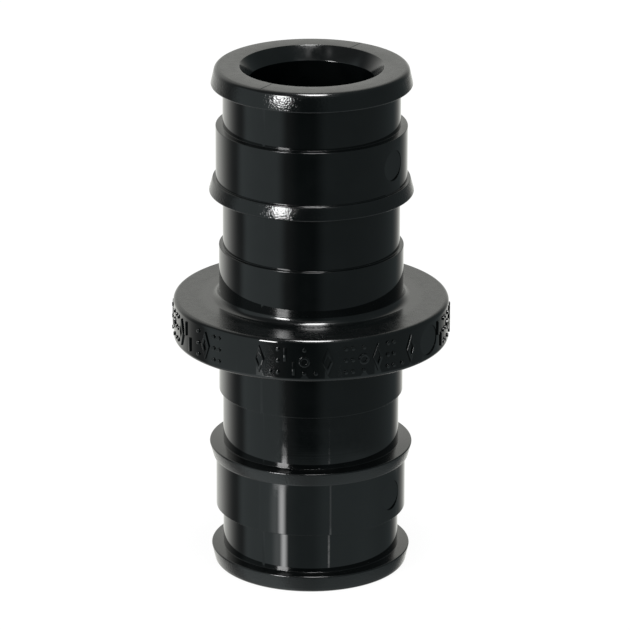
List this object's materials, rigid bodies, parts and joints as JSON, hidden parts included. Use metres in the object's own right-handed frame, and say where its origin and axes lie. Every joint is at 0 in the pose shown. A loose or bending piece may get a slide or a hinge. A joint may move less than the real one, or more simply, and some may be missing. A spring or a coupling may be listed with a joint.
{
  "type": "barbed pipe coupling",
  "caption": "Straight barbed insert coupling for expansion-fit plastic tube: black moulded body, central stop collar with raised marks, barbed spigots each way, straight bore.",
  "frame": {"origin": "on the waterway's axis at the mid-plane of the stop collar, which is the middle of the part", "axes": "+Z along the waterway. The mould parting plane stands at -32 degrees from -Y towards +X and the ejector pin prints face 58 degrees from -Y towards +X"},
  "size_m": [0.0288, 0.0288, 0.0538],
  "materials": {
    "moulded_plastic": "black engineering plastic as moulded: semi-gloss walls, slightly duller end and collar faces"
  },
  "bodies": {
    "root": {"coupling_body": "moulded_plastic"}
  },
  "joints": []
}
